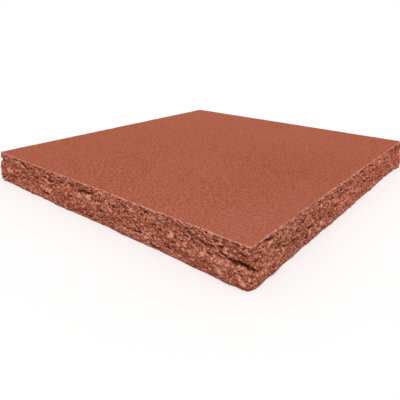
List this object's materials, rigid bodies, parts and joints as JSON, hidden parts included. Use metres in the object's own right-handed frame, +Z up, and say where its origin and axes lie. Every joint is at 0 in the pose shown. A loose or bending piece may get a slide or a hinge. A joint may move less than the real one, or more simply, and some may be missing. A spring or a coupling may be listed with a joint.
{
  "type": "concrete pillar cap",
  "caption": "Square flat slab of red concrete with a smooth top and rough split edges, laid on top of a masonry pillar to cover and finish it.",
  "frame": {"origin": "centre of the bed, the flat underside that lies on the pillar, at the middle of the slab's outline", "axes": "+Z up out of the smooth top; +X and +Y along the slab's sides; the corner at +X -Y is the one with the stepped ledge"},
  "size_m": [0.6115, 0.6112, 0.06],
  "materials": {
    "red_concrete": "matte"
  },
  "bodies": {
    "root": {"cap_slab": "red_concrete"}
  },
  "joints": []
}
